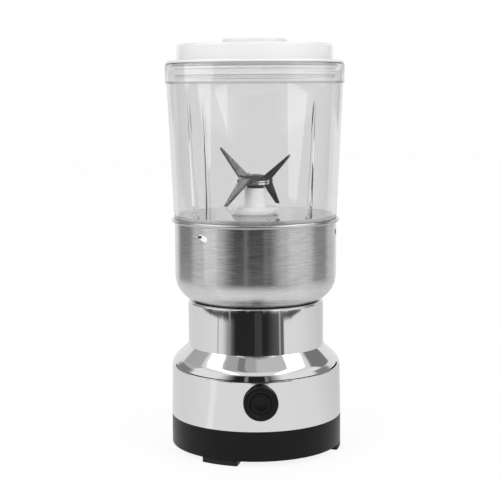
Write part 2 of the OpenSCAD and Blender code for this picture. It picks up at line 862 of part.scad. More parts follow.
module motor_spacers() {
    color("silver")
        for (azimuth = bolt_az)
            at_azimuth(azimuth) {
                translate([bolt_at, 0, stator_top])
                    tube(spacer_r, bolt_hole_r, top_bracket_z - stator_top);
                translate([bolt_at, 0, low_bracket_top])
                    tube(spacer_r, bolt_hole_r, stator_z - low_bracket_top);
            }
}

// One pole shoe around +X
module pole_outline() {
    intersection() {
        difference() {
            circle(r = stator_bore_r + shoe_t);
            circle(r = stator_bore_r);
        }
        reach = 2 * stator_r;
        polygon([[0, 0], reach * [cos(shoe_span / 2), -sin(shoe_span / 2)], [reach, 0],
                 reach * [cos(shoe_span / 2), sin(shoe_span / 2)]]);
    }
    translate([stator_bore_r + shoe_t / 2, -pole_w / 2])
        square([yoke_in_r - stator_bore_r - shoe_t / 2 + yoke_t / 4, pole_w]);
}

module stator_core() {
    color("slategray")
        translate([0, 0, stator_z])
            difference() {
                linear_extrude(height = stator_h) {
                    difference() {
                        circle(r = stator_r);
                        circle(r = yoke_in_r);
                    }
                    for (a = [0, 180]) rotate(a) pole_outline();
                }
                for (azimuth = bolt_az)
                    at_azimuth(azimuth)
                        translate([bolt_at, 0, -past]) cylinder(r = bolt_hole_r, h = stator_h + 2 * past);
            }
}

module field_coils() {
    color([0.72, 0.4, 0.2])
        for (a = [0, 180])
            rotate([0, 0, a])
                difference() {
                    translate([coil_in_x, -coil_half, stator_z - winding_h])
                        cube([coil_t, 2 * coil_half, stator_h + 2 * winding_h]);
                    translate([coil_in_x - past, -pole_w / 2 - slip, stator_z - slip])
                        cube([coil_t + 2 * past, pole_w + 2 * slip, stator_h + 2 * slip]);
                }
}

module bush(z) {
    color("peru") translate([0, 0, z]) tube(bush_r, shaft_r + run, bracket_t + bracket_boss_h);
}

module top_bush() {
    bush(top_bracket_z);
}

module bottom_bush() {
    bush(low_boss_z);
}

module brush_holders() {
    color("goldenrod")
        for (azimuth = brush_az)
            at_azimuth(azimuth)
                translate([0, 0, comm_mid])
                    difference() {
                        translate([holder_in, -holder_w / 2, -holder_h / 2])
                            cube([holder_out - holder_in, holder_w, holder_h]);
                        translate([holder_in - past, holder_wall - holder_w / 2, holder_wall - holder_h / 2])
                            cube([holder_out - holder_in + past - holder_wall, holder_w - 2 * holder_wall,
                                  holder_h - 2 * holder_wall]);
                    }
}

module carbon_brushes() {
    color([0.25, 0.25, 0.27])
        for (azimuth = brush_az)
            at_azimuth(azimuth)
                difference() {
                    translate([comm_r / 2, -brush_w / 2, comm_mid - brush_t / 2])
                        cube([comm_r / 2 + brush_gap + brush_len, brush_w, brush_t]);
                    translate([0, 0, comm_z]) cylinder(r = comm_r + brush_gap, h = comm_h);
                }
}

module brush_springs() {
    brush_end = comm_r + brush_gap + brush_len;
    length = holder_out - holder_wall - brush_end - 2 * fit;
    wire = 0.25;
    turns = 4;
    color("silver")
        for (azimuth = brush_az)
            at_azimuth(azimuth)
                translate([brush_end + fit, 0, comm_mid])
                    rotate([0, 90, 0]) coil_spring(brush_t / 2 - wire - fit, wire, length, turns);
}

module lead_wires() {
    tab_y = contact_t / 2 - contact_front;
    tab_z = button_z - tab_drop - wire_r - fit;
    tab_az = asin(contact_at / wire_at);
    coil_az = 60;
    coil_x = coil_in_x + coil_t / 2;
    coil_y = coil_half - wire_r;
    coil_z = stator_z - winding_h - wire_r - fit;
    brush_x = holder_out + wire_r + fit;
    brush_y = holder_w / 2 + 2 * wire_r;
    side_route = [
        for (i = [0:6])
            let (azimuth = tab_az + (coil_az - tab_az) * i / 6)
                [wire_at * sin(azimuth), -wire_at * cos(azimuth), tab_z]
    ];
    color("firebrick") {
        // From the switch around the side to the right-hand coil
        lead(concat([[contact_at, tab_y, tab_z]], side_route, [[coil_x, -coil_y, coil_z]]));
        // From each coil to its brush
        for (side = [-1, 1])
            lead([
                [side * coil_x, side * coil_y, coil_z], [side * brush_x, side * brush_y, comm_mid],
                [side * brush_x, 0, comm_mid]
            ]);
    }
}

// Rotor

module motor_shaft() {
    color("silver")
        translate([0, 0, fan_z]) cylinder(r = shaft_r, h = drive_top - shaft_end_wall - fan_z);
}

module armature_core() {
    slot_count = 12;
    slot_r = 2;
    tooth_t = 2;
    slot_at = core_r - slot_r - tooth_t;
    slot_w = 1.4;
    color("slategray")
        translate([0, 0, stator_z])
            difference() {
                tube(core_r, shaft_r + fit, stator_h);
                for (i = [0:slot_count - 1])
                    rotate([0, 0, 360 * i / slot_count]) translate([slot_at, 0, -past]) {
                        cylinder(r = slot_r, h = stator_h + 2 * past);
                        translate([0, -slot_w / 2, 0]) cube([core_r, slot_w, stator_h + 2 * past]);
                    }
            }
}

module armature_winding() {
    inset = 2;
    in_r = shaft_r + inset;
    out_r = core_r - inset;
    edge = winding_h / 3;
    color([0.75, 0.42, 0.2])
        for (end = [0, 1])
            translate([0, 0, end == 0 ? stator_z : stator_top])
                mirror([0, 0, 1 - end])
                    rotate_extrude()
                        polygon(concat(
                            [[in_r, 0], [out_r, 0]],
                            arc([out_r - edge, winding_h - edge], edge, 0, 90, 5),
                            arc([in_r + edge, winding_h - edge], edge, 90, 180, 5)
                        ));
}

module commutator() {
    bars = 24;
    slit_w = 0.5;
    slit_depth = 1.2;
    color([0.72, 0.45, 0.2])
        translate([0, 0, comm_z])
            difference() {
                tube(comm_r, shaft_r + fit, comm_h);
                for (i = [0:bars - 1])
                    rotate([0, 0, 360 * i / bars])
                        translate([comm_r - slit_depth, -slit_w / 2, -past])
                            cube([slit_depth + past, slit_w, comm_h + 2 * past]);
            }
}

module cooling_fan() {
    vanes = 9;
    vane_t = 1.2;
    hub_r = shaft_r + boss_wall;
    color("white")
        translate([0, 0, fan_z])
            difference() {
                union() {
                    cylinder(r = hub_r, h = fan_h);
                    translate([0, 0, fan_h - vane_t]) cylinder(r = fan_r, h = vane_t);
                    for (i = [0:vanes - 1])
                        rotate([0, 0, 360 * i / vanes])
                            translate([hub_r - past, -vane_t / 2, 0])
                                cube([fan_r - hub_r, vane_t, fan_h]);
                }
                translate([0, 0, -past]) cylinder(r = shaft_r + fit, h = fan_h + 2 * past);
            }
}

module drive_coupling() {
    color([0.15, 0.15, 0.15])
        difference() {
            union() {
                translate([0, 0, drive_z]) cylinder(r = coupling_r, h = hub_h);
                translate([0, 0, drive_z + hub_h / 2]) dogs(drive_dog_a, hub_h / 2 + dog_h);
            }
            translate([0, 0, drive_z - past]) cylinder(r = shaft_r + fit, h = hub_h - shaft_end_wall + past);
        }
}

// Button and switch

module switch_bezel() {
    barrel_end = bezel_front - 2 * bezel_edge_r;
    color([0.1, 0.1, 0.1]) {
        // Flange, hollowed behind to follow the body's round wall
        difference() {
            facing_front(button_z)
                rotate_extrude()
                    polygon(concat(
                        [[cap_bore_r, stop_w - past], [cap_bore_r, bezel_front - bezel_dish],
                         [bezel_r - 2 * bezel_edge_r, bezel_front]],
                        arc([bezel_r - bezel_edge_r, bezel_front - bezel_edge_r], bezel_edge_r, 90, 0, 6),
                        [[bezel_r, stop_w - past]]
                    ));
            translate([0, 0, pan_top - past])
                cylinder(r1 = shell_r(pan_top - past) + clamp_gap, r2 = shell_r(low_top + past) + clamp_gap,
                         h = low_top - pan_top + 2 * past);
        }
        // Threaded barrel through the wall, with the shoulder that stops the cap
        facing_front(button_z)
            rotate_extrude()
                polygon([
                    [collar_bore_r, switch_front], [bezel_barrel_r, switch_front],
                    [bezel_barrel_r, barrel_end], [cap_bore_r, barrel_end],
                    [cap_bore_r, stop_w], [collar_bore_r, stop_w]
                ]);
    }
}

module switch_nut() {
    color([0.2, 0.2, 0.2])
        facing_front(button_z)
            translate([0, 0, bezel_nut_front - bezel_nut_t])
                difference() {
                    cylinder(r = bezel_nut_r, h = bezel_nut_t, $fn = 6);
                    translate([0, 0, -past]) cylinder(r = bezel_barrel_r + fit, h = bezel_nut_t + 2 * past);
                }
}

module switch_body() {
    half = switch_size / 2;
    inner = switch_size - 2 * switch_wall;
    bridge_room = 0.6;
    chamber_front = bridge_w + bridge_room;
    chamber_back = contact_front - contact_t - fit;
    color([0.25, 0.25, 0.25])
        facing_front(button_z)
            difference() {
                translate([-half, -half, switch_back])
                    cube([switch_size, switch_size, switch_front - switch_back]);
                translate([0, 0, spring_seat])
                    cylinder(r = spring_r + spring_wire_r + slack, h = switch_front - spring_seat + past);
                translate([0, 0, chamber_front - past])
                    cylinder(r = stem_r + play, h = spring_seat - chamber_front + 2 * past);
                translate([-inner / 2, -inner / 2, chamber_back])
                    cube([inner, inner, chamber_front - chamber_back]);
                for (side = [-1, 1])
                    translate([side * contact_at - contact_w / 2 - fit, -half - past, chamber_back])
                        cube([contact_w + 2 * fit, half, contact_t + 2 * fit]);
            }
}

module switch_contacts() {
    contact_up = 1.5;
    color("goldenrod")
        facing_front(button_z)
            for (side = [-1, 1])
                translate([side * contact_at - contact_w / 2, -tab_drop, contact_front - contact_t])
                    cube([contact_w, tab_drop + contact_up, contact_t]);
}

module button_spring() {
    color("silver")
        facing_front(button_z)
            translate([0, 0, spring_seat + fit])
                coil_spring(spring_r, spring_wire_r, collar_back - spring_seat - 2 * fit, spring_turns);
}

module button_cap() {
    color([0.12, 0.12, 0.12])
        facing_front(button_z)
            difference() {
                union() {
                    translate([0, 0, collar_back]) cylinder(r = cap_r, h = cap_front - collar_back);
                    translate([0, 0, collar_back]) cylinder(r = collar_r, h = collar_t);
                    translate([0, 0, bridge_w]) cylinder(r = stem_r, h = collar_back - bridge_w + past);
                }
                translate([0, 0, cap_front + cap_dish_r - cap_dish_depth]) sphere(r = cap_dish_r);
            }
}

module contact_bridge() {
    color("goldenrod")
        facing_front(button_z)
            translate([-contact_at - contact_w / 2, -contact_w / 2, bridge_w - bridge_t])
                cube([2 * contact_at + contact_w, contact_w, bridge_t]);
}

// Cup and blade unit

module rib() {
    rib_top = cup_floor + rib_h;
    rotate([90, 0, 0])
        translate([0, 0, -rib_t / 2])
            linear_extrude(height = rib_t)
                polygon([
                    [wall_mid(cup_floor), cup_floor - cup_floor_t / 2],
                    [cup_r(cup_floor) - cup_wall - rib_depth, cup_floor - cup_floor_t / 2],
                    [cup_r(cup_floor) - cup_wall - rib_depth, cup_floor],
                    [cup_r(rib_top) - cup_wall, rib_top], [wall_mid(rib_top), rib_top]
                ]);
}

// Key channel and locking pocket in the skirt, for a dimple at +X
module key_way() {
    depth = skirt_r - key_r + past;
    rotate([0, 0, -key_half_a])
        rotate_extrude(angle = 2 * key_half_a)
            translate([key_r, skirt_z - past]) square([depth, dimple_z + key_half_h - skirt_z + past]);
    rotate([0, 0, -key_half_a])
        rotate_extrude(angle = lock_turn + 2 * key_half_a)
            translate([key_r, dimple_z - key_half_h]) square([depth, 2 * key_half_h]);
}

module cup() {
    hole_r = barrel_r + fit;
    color([0.85, 0.88, 0.9, 0.4])
        difference() {
            union() {
                rotate_extrude()
                    polygon(concat(
                        [[hole_r, cup_floor], [cup_r(cup_floor) - cup_wall, cup_floor],
                         [cup_r(mouth_z) - cup_wall, mouth_z], [mouth_r, mouth_z], [mouth_r, rim_z]],
                        arc([band_r - rim_edge, rim_z - rim_edge], rim_edge, 90, 0, 5),
                        [[band_r, band_z], [cup_top_r, band_z], [cup_low_r, seat_z],
                         [skirt_r, seat_z], [skirt_r, skirt_z], [skirt_in_r, skirt_z],
                         [skirt_in_r, cup_under], [hole_r, cup_under]]
                    ));
                for (azimuth = rib_az) at_azimuth(azimuth) rib();
            }
            for (azimuth = dimple_az) at_azimuth(azimuth) key_way();
        }
}

module floor_seal() {
    color([0.3, 0.3, 0.3])
        translate([0, 0, cup_floor]) tube(pillar_flange_r - seal_inset, barrel_r + fit, seal_ring_t);
}

module blade_housing() {
    flange_z = cup_floor + seal_ring_t;
    edge = pillar_flange_t / 2;
    seat_r = blade_bush_r + fit;
    grease_gap = 1;
    bore_r = shaft_r + grease_gap;
    color([0.9, 0.92, 0.93, 0.6])
        rotate_extrude()
            polygon([
                [seat_r, house_z], [barrel_r, house_z], [barrel_r, flange_z], [pillar_flange_r, flange_z],
                [pillar_flange_r, flange_z + edge], [pillar_flange_r - edge, flange_z + pillar_flange_t],
                [pillar_r, flange_z + pillar_flange_t], [pillar_r, pillar_top], [seat_r, pillar_top],
                [seat_r, pillar_top - blade_bush_h], [bore_r, pillar_top - blade_bush_h],
                [bore_r, house_z + blade_bush_h], [seat_r, house_z + blade_bush_h]
            ]);
}

module housing_nut() {
    color([0.2, 0.2, 0.2])
        translate([0, 0, cup_under - house_nut_h])
            difference() {
                cylinder(r = house_nut_r, h = house_nut_h, $fn = 6);
                translate([0, 0, -past]) cylinder(r = barrel_r + fit, h = house_nut_h + 2 * past);
            }
}

module blade_bushes() {
    color("peru")
        for (z = [house_z, pillar_top - blade_bush_h])
            translate([0, 0, z]) tube(blade_bush_r, shaft_r + run, blade_bush_h);
}

module blade_shaft() {
    shaft_z = driven_z + shaft_end_wall;
    tip = 0.2;
    color("silver")
        translate([0, 0, shaft_z]) cylinder(r = shaft_r, h = blade_nut_z + blade_nut_h + tip - shaft_z);
}

module driven_coupling() {
    color([0.15, 0.15, 0.15])
        difference() {
            union() {
                translate([0, 0, driven_z]) cylinder(r = coupling_r, h = hub_h);
                translate([0, 0, driven_dog_z]) dogs(driven_dog_a, dog_h + hub_h / 2);
            }
            translate([0, 0, driven_z + shaft_end_wall]) cylinder(r = shaft_r + fit, h = hub_h);
        }
}

module blade_seal() {
    color("black") translate([0, 0, blade_seal_z]) tube(pillar_r - seal_inset, shaft_r + fit, blade_seal_h);
}

module blade_washers() {
    color("gainsboro")
        for (i = [0, 1])
            translate([0, 0, washer_z + i * (washer_t + washer_step)])
                tube(washer_r, shaft_r + fit, washer_t);
}

// Side view of an arm that starts at the bend: its underside out to the tip and its top face back
function arm_side(tip) =
    let (
        turn = atan2(tip[1], tip[0] - bend_r),
        miter = blade_t / 2 * tan(turn / 2),
        lean = blade_t / 2 * [-sin(turn), cos(turn)],
        end = tip + [0, blade_t / 2]
    )
    [[bend_r + miter, 0], end - lean, end + lean, [bend_r - miter, blade_t]];

// Plan of an arm from its bend to just past its tip, on the trailing side
function arm_plan(tip) = [[bend_r, blade_w / 2], [tip[0] + blade_t, blade_tip_w / 2]];

function mirrored(points) = [for (point = points) [-point[0], point[1]]];
function flipped(points) = [for (point = points) [point[0], -point[1]]];

// What grinding takes off the leading edge of an arm along X
module bevel_cut(tip) {
    arm = tip - [bend_r, 0];
    translate([bend_r, 0, blade_t / 2])
        rotate([0, -atan2(arm[1], arm[0]), 0])
            translate([0, -blade_w / 2, bevel_land - blade_t / 2])
                rotate([0, 0, atan((blade_w - blade_tip_w) / 2 / norm(arm))])
                    rotate([blade_bevel, 0, 0])
                        translate([bevel_start, -blade_w, 0])
                            cube([norm(arm) + blade_w, 2 * blade_w, blade_w]);
}

// Two-armed blade along X with its hub's underside at z = 0; each tip is its reach from the axis and its rise
module blade(first_tip, second_tip) {
    span = 2 * max(first_tip[0], second_tip[0]);
    first = arm_plan(first_tip);
    second = mirrored(arm_plan(second_tip));
    difference() {
        intersection() {
            rotate([90, 0, 0])
                linear_extrude(height = 2 * blade_w, center = true)
                    polygon(concat(arm_side(first_tip), reversed(mirrored(arm_side(second_tip)))));
            linear_extrude(height = span, center = true)
                polygon(concat(first, reversed(flipped(first)), flipped(second), reversed(second)));
        }
        bevel_cut(first_tip);
        rotate([0, 0, 180]) bevel_cut(second_tip);
        translate([0, 0, -past]) cylinder(r = shaft_r + fit, h = blade_t + 2 * past);
    }
}

module lower_blade() {
    color("silver")
        at_azimuth(down_blade_az)
            translate([0, 0, low_blade_z])
                blade([down_front_reach, -down_front_drop], [down_back_reach, -down_back_drop]);
}

module upper_blade() {
    color("silver")
        at_azimuth(up_blade_az)
            translate([0, 0, up_blade_z])
                blade([up_front_reach, up_front_rise], [up_back_reach, up_back_rise]);
}

module blade_nut() {
    color("gainsboro")
        translate([0, 0, blade_nut_z])
            difference() {
                cylinder(r = blade_nut_r, h = blade_nut_h, $fn = 6);
                translate([0, 0, -past]) cylinder(r = shaft_r + fit, h = blade_nut_h + 2 * past);
            }
}

// Lid

module lid() {
    ceiling = lid_top - lid_wall;
    color("white")
        rotate_extrude()
            polygon(concat(
                [[0, boss_top]],
                arc([boss_r - boss_edge_r, boss_top - boss_edge_r], boss_edge_r, 90, 0, 5),
                [[boss_r, lid_top]],
                arc([lid_r - lid_edge_r, lid_top - lid_edge_r], lid_edge_r, 90, 0, 6),
                [[lid_r, lid_z + flange_t]],
                arc([flange_r - flange_edge_r, lid_z + flange_t - flange_edge_r], flange_edge_r, 90, 0, 5),
                [[flange_r, lid_z], [plug_r, lid_z],
                 [plug_r, groove_z + gasket_h], [groove_r, groove_z + gasket_h],
                 [groove_r, groove_z], [plug_r, groove_z],
                 [plug_r, plug_z], [plug_in_r, plug_z], [plug_in_r, lid_z],
                 [lid_in_r, lid_z], [lid_in_r, ceiling], [boss_r - lid_wall, ceiling],
                 [boss_r - lid_wall, boss_top - lid_wall], [0, boss_top - lid_wall]]
            ));
}

module lid_gasket() {
    seal_r = mouth_r - slip;
    pitch = gasket_h / 2;
    root = pitch * lip_root_share;
    tip = pitch * lip_tip_share;
    z = groove_z + fit;
    top = groove_z + gasket_h - fit;
    lips = [for (i = [0.5, 1.5], edge = [[plug_r, -root], [seal_r, -tip], [seal_r, tip], [plug_r, root]])
        edge + [0, groove_z + i * pitch]];
    color("gainsboro")
        rotate_extrude()
            polygon(concat([[groove_r + fit, z], [plug_r, z]], lips, [[plug_r, top], [groove_r + fit, top]]));
}

feet();
base_pan();
base_screws();
cord_inlet();
body_shell();
steel_bowl();
bowl_gasket();
bowl_screws();
shaft_seal();
motor_frame();
top_bracket();
bottom_bracket();
motor_bolts();
motor_spacers();
stator_core();
field_coils();
top_bush();
bottom_bush();
brush_holders();
carbon_brushes();
brush_springs();
lead_wires();
switch_bezel();
switch_nut();
switch_body();
switch_contacts();
button_spring();
button_cap();
contact_bridge();
motor_shaft();
armature_core();
armature_winding();
commutator();
cooling_fan();
drive_coupling();
seat_ring();
cup();
floor_seal();
blade_housing();
housing_nut();
blade_bushes();
blade_shaft();
driven_coupling();
blade_seal();
blade_washers();
lower_blade();
upper_blade();
blade_nut();
lid();
lid_gasket();
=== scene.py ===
"""Looks of the electric coffee grinder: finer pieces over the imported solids, materials, light and camera."""

import json
from math import cos, pi, radians, sin

import bmesh
import bpy
from mathutils import Euler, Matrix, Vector


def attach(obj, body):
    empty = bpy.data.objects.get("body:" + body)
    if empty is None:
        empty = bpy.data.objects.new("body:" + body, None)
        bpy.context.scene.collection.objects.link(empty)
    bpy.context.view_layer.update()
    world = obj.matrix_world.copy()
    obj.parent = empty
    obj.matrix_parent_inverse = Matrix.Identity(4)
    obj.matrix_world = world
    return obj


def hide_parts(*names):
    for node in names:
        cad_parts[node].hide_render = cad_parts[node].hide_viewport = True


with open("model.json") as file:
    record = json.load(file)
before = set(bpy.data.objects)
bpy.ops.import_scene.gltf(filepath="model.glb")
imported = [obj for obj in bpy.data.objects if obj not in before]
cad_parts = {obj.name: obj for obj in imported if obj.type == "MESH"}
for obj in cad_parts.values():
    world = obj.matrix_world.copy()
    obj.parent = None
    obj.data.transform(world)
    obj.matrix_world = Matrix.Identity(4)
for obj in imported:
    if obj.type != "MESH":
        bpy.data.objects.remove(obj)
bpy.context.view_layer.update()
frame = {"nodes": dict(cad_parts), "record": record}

MM = 0.001
BODY_OF = {n: body for body, nodes in frame["record"]["behaviour"]["bodies"].items() for n in nodes}
SLOT_OF = {part["node"]: part["material_slot"] for part in frame["record"]["subparts"]}

# Heights, from low to high, of places where a material changes
THICK_FLOOR = (129.6 * MM, 137.6 * MM)
# At the rim ledge the clear plastic gets a painted darker line of shade
RIM_LEDGE = (213.3 * MM, 214.1 * MM)
# In the pressed dimples the steel gets a painted glint
DIMPLES = (123.5 * MM, 131.5 * MM)
# Below this band the bowl's steel is lighter: painted light
BOWL_CORNER_PAINTED_LIGHT = (96.0 * MM, 102.0 * MM)

# Outside of the bowl's wall
BOWL_RADIUS = 47.2 * MM

# Brightness of whatever is seen through the clear plastic
BEHIND_GLASS = 0.77


# Shader building

class Nodes:
    """Adds nodes to one shader tree; an input is a plain value or another node's socket."""

    NOISE_RANGE = (0.3, 0.7)

    def __init__(self, tree):
        self.tree = tree
        tree.nodes.clear()

    def add(self, kind, inputs=None, **settings):
        node = self.tree.nodes.new("ShaderNode" + kind)
        for key, value in settings.items():
            setattr(node, key, value)
        for key, value in (inputs or {}).items():
            if isinstance(value, bpy.types.NodeSocket):
                self.tree.links.new(value, node.inputs[key])
            else:
                node.inputs[key].default_value = value
        return node

    def math(self, operation, *values):
        return self.add("Math", dict(enumerate(values)), operation=operation).outputs[0]

    def both(self, first, second):
        return self.math("MULTIPLY", first, second)

    def either(self, first, second):
        return self.math("MAXIMUM", first, second)

    def some(self, count):
        """1 where the count is one or more."""
        return self.math("GREATER_THAN", count, 0.5)

    def none(self, count):
        """1 where the count is zero."""
        return self.math("LESS_THAN", count, 0.5)

    def ramp(self, value, start, end, low, high, smooth=False):
        """Runs from low at start to high at end, and stays there."""
        inputs = {0: value, 1: start, 2: end, 3: low, 4: high}
        kind = "SMOOTHSTEP" if smooth else "LINEAR"
        return self.add("MapRange", inputs, interpolation_type=kind).outputs[0]

    def rise(self, value, start, end):
        """Eases from 0 at start to 1 at end."""
        return self.ramp(value, start, end, 0.0, 1.0, smooth=True)

    def fall(self, value, start, end):
        """Eases from 1 at start to 0 at end."""
        return self.ramp(value, start, end, 1.0, 0.0, smooth=True)

    def between(self, value, low, high, soft):
        """1 from low to high, easing to 0 over soft."""
        away = self.math("ABSOLUTE", self.math("SUBTRACT", value, (low + high) / 2))
        half = (high - low) / 2
        return self.fall(away, half, half + soft)

    def mix(self, level, cover, value):
        """The level, with the value where the cover is 1."""
        return self.add("Mix", {0: cover, 2: level, 3: value}).outputs[0]

    def glow(self, kind, strength):
        return self.add(kind, {"Color": (1, 1, 1, 1), "Strength": strength})

    def blend(self, share, first, second):
        return self.add("MixShader", {0: share, 1: first.outputs[0], 2: second.outputs[0]})

    def place(self):
        return self.add("TexCoord").outputs["Object"]

    def parts(self, vector):
        """X, Y and Z of a vector."""
        return self.add("SeparateXYZ", {0: vector}).outputs

    def azimuth(self, parts):
        """Degrees around the grinder's axis, from the front towards the right."""
        forwards = self.math("MULTIPLY", parts["Y"], -1.0)
        return self.math("DEGREES", self.math("ARCTAN2", parts["X"], forwards))

    def noise(self, per_metre, detail=2.0, roughness=0.5):
        """Noise of the given number of features per metre along X, Y and Z."""
        mapping = self.add("Mapping", {"Vector": self.place(), "Scale": per_metre})
        inputs = {"Vector": mapping.outputs[0], "Scale": 1.0, "Detail": detail, "Roughness": roughness}
        return self.add("TexNoise", inputs).outputs[0]

    def vary(self, noise, low, high):
        """From low to high over the range that most of the noise lies in."""
        return self.ramp(noise, *self.NOISE_RANGE, low, high)

    def tint(self, factor, first, second):
        """The first colour where the factor is 0, and the second where it is 1."""
        inputs = {0: factor, 6: (*first, 1.0), 7: (*second, 1.0)}
        return self.add("Mix", inputs, data_type="RGBA").outputs[2]

    def shade(self, level):
        """Grey of a level between 0 and 1."""
        return self.tint(level, grey(0.0), grey(1.0))

    def bump(self, height, depth):
        """Bump whose full height is depth metres."""
        return self.add("Bump", {"Height": height, "Strength": 1.0, "Distance": depth}).outputs[0]


def surface(name, inputs, wear, clear_to_lamps=False):
    """A material with one principled shader; wear adds the nodes that vary it over the surface."""
    material = bpy.data.materials.new(name)
    material.use_nodes = True
    nodes = Nodes(material.node_tree)
    shader = nodes.add("BsdfPrincipled", {**inputs, **wear(nodes)})
    if clear_to_lamps:
        from_lamp = nodes.add("LightPath").outputs["Is Shadow Ray"]
        shader = nodes.blend(from_lamp, shader, nodes.add("BsdfTransparent"))
    nodes.add("OutputMaterial", {0: shader.outputs[0]})
    return material


def grey(level):
    return (level, level, level)


# Materials, one for each slot of the record

def chrome():
    """Polished chrome on slightly wavy sheet, with a thin haze."""
    def wear(nodes):
        haze = nodes.noise(per_metre=(60, 60, 25), detail=4.0)
        sheet = nodes.noise(per_metre=(18, 18, 14), detail=1.0)
        return {
            "Base Color": nodes.tint(haze, (0.69, 0.69, 0.695), (0.74, 0.74, 0.745)),
            "Roughness": nodes.ramp(haze, start=0.35, end=0.75, low=0.02, high=0.05),
            "Normal": nodes.bump(sheet, depth=0.03 * MM),
        }
    return surface("chrome", {"Metallic": 1.0}, wear)


def brushed_steel():
    """Steel brushed around the axis, with painted light: a lighter bend and a glint in the pressed dimples."""
    line_share, cloud_share = 0.7, 0.3
    # The dimples' colour is a painted glint; polish is their lower roughness
    painted_bright, polish = 0.96, 0.08

    def wear(nodes):
        lines = nodes.noise(per_metre=(110, 110, 1700), detail=4.0, roughness=0.75)
        clouds = nodes.noise(per_metre=(30, 30, 60), detail=3.0)
        brushing = nodes.math("ADD", nodes.both(lines, line_share), nodes.both(clouds, cloud_share))
        x, y, z = nodes.parts(nodes.place())
        radius = nodes.math("SQRT", nodes.math("ADD", nodes.both(x, x), nodes.both(y, y)))
        pressed_in = nodes.ramp(radius, BOWL_RADIUS - 0.3 * MM, BOWL_RADIUS - 0.1 * MM, low=1.0, high=0.0)
        pressed = nodes.both(nodes.between(z, *DIMPLES, soft=0.5 * MM), pressed_in)
        wall = nodes.vary(brushing, low=0.44, high=0.67)
        # Painted light: below the bowl's bend the steel is lighter
        painted_lighter_corner = nodes.vary(brushing, low=0.55, high=0.76)
        level = nodes.mix(wall, nodes.fall(z, *BOWL_CORNER_PAINTED_LIGHT), painted_lighter_corner)
        return {
            # Base colour with painted light at the bend and a painted glint in the dimples
            "Base Color": nodes.shade(nodes.mix(level, pressed, painted_bright)),
            "Roughness": nodes.mix(nodes.vary(brushing, low=0.20, high=0.27), pressed, polish),
            "Normal": nodes.bump(lines, depth=0.008 * MM),
            "Tangent": nodes.add("Tangent", direction_type="RADIAL", axis="Z").outputs[0],
        }
    inputs = {"Metallic": 1.0, "Anisotropic": 0.92, "Anisotropic Rotation": 0.25}
    return surface("brushed_steel", inputs, wear)


def plated(name, dark, light, rough):
    """Bare or plated metal with fine grinding marks."""
    def wear(nodes):
        marks = nodes.noise(per_metre=(240, 240, 1800), detail=3.0, roughness=0.65)
        return {
            "Base Color": nodes.tint(marks, dark, light),
            "Roughness": nodes.vary(marks, low=rough - 0.06, high=rough + 0.08),
            "Normal": nodes.bump(marks, depth=0.008 * MM),
        }
    return surface(name, {"Metallic": 1.0}, wear)


def moulded(name, dark, light, rough, grain=0.01, specular=0.5):
    """Moulded plastic or rubber with faint flow marks and a fine grain, grain millimetres deep."""
    def wear(nodes):
        flow = nodes.noise(per_metre=(40, 40, 90), detail=3.0)
        texture = nodes.noise(per_metre=(1600, 1600, 1600), detail=2.0)
        return {
            "Base Color": nodes.tint(flow, dark, light),
            "Roughness": nodes.vary(flow, low=rough - 0.05, high=rough + 0.06),
            "Normal": nodes.bump(texture, depth=grain * MM),
        }
    return surface(name, {"Specular IOR Level": specular}, wear)


def clear(name, dark, light, rough, through=1.0, specular=0.5):
    """Clear moulded plastic, faintly smeared and wavy; the cup's thick floor and ledge are less smooth."""
    # A painted darker line of shade at the rim ledge, and the roughness there and on the thick floor
    ledge_painted_shade, uneven = 0.82, 0.25

    def wear(nodes):
        smears = nodes.noise(per_metre=(70, 70, 20), detail=4.0)
        waves = nodes.noise(per_metre=(25, 25, 8), detail=1.0)
        height = nodes.parts(nodes.place())["Z"]
        thick = nodes.between(height, *THICK_FLOOR, soft=0.4 * MM)
        ledge = nodes.between(height, *RIM_LEDGE, soft=0.2 * MM)
        level = nodes.ramp(smears, start=0.0, end=1.0, low=dark, high=light)
        return {
            # Painted shade: the tint is darker at the rim ledge
            "Base Color": nodes.shade(nodes.mix(level, ledge, ledge_painted_shade)),
            "Roughness": nodes.mix(rough, nodes.either(thick, ledge), uneven),
            "Normal": nodes.bump(waves, depth=0.015 * MM),
        }
    inputs = {"Transmission Weight": through, "IOR": 1.49, "Specular IOR Level": specular}
    return surface(name, inputs, wear, clear_to_lamps=True)


MATERIALS = {
    "black_plastic": moulded("black_plastic", grey(0.004), grey(0.008), rough=0.30, grain=0.006,
                             specular=0.15),
    "grey_plastic": moulded("grey_plastic", grey(0.030), grey(0.045), rough=0.50),
    "rubber": moulded("rubber", grey(0.007), grey(0.012), rough=0.60, grain=0.015, specular=0.3),
    "chrome": chrome(),
    "brushed_steel": brushed_steel(),
    "blade_steel": plated("blade_steel", grey(0.078), grey(0.13), rough=0.16),
    "zinc_steel": plated("zinc_steel", (0.52, 0.52, 0.53), (0.68, 0.68, 0.68), rough=0.32),
    "lamination": plated("lamination", (0.20, 0.21, 0.23), (0.34, 0.35, 0.37), rough=0.45),
    "copper": plated("copper", (0.55, 0.26, 0.12), (0.72, 0.36, 0.18), rough=0.35),
    "bronze": plated("bronze", (0.45, 0.30, 0.14), (0.60, 0.42, 0.22), rough=0.42),
    "brass": plated("brass", (0.60, 0.44, 0.17), (0.75, 0.57, 0.25), rough=0.30),
    "carbon": moulded("carbon", grey(0.020), grey(0.035), rough=0.65),
    "clear_plastic": clear("clear_plastic", dark=0.95, light=0.97, rough=0.0, specular=1.0),
    "frosted_plastic": clear("frosted_plastic", dark=0.96, light=0.98, rough=0.35, through=0.05),
    "white_plastic": moulded("white_plastic", grey(0.84), grey(0.88), rough=0.18, grain=0.003, specular=0.9),
    "fan_plastic": moulded("fan_plastic", (0.70, 0.70, 0.67), (0.78, 0.78, 0.75), rough=0.45),
    "silicone": moulded("silicone", grey(0.92), grey(0.96), rough=0.40),
    "lead_insulation": moulded("lead_insulation", (0.35, 0.03, 0.03), (0.42, 0.05, 0.04), rough=0.45),
}


# Pieces

